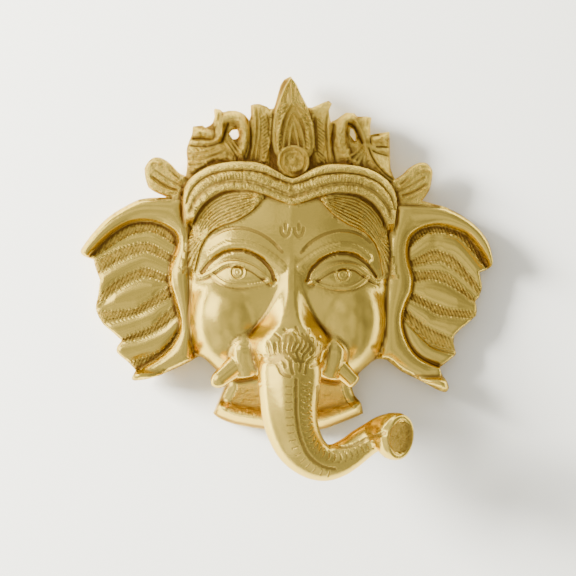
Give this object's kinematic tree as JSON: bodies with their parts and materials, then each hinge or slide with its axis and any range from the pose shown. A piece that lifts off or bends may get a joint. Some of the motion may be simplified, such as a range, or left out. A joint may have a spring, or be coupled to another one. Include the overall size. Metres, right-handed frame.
{
  "type": "cast brass ganesha mask",
  "caption": "Hollow-backed cast brass wall mask of an elephant-headed deity with a crown, spread ears, short tusks and a trunk that curls to one side.",
  "frame": {"origin": "on the floor under the middle of the mask's box, with the mask lying on its back rim", "axes": "+Z out of the face, +Y towards the tip of the crown, +X towards the side that the trunk curls to"},
  "size_m": [0.24, 0.2304, 0.0767],
  "materials": {
    "cast_brass": "polished cast brass with rough, darker recesses"
  },
  "bodies": {
    "root": {"mask": "cast_brass"}
  },
  "joints": []
}
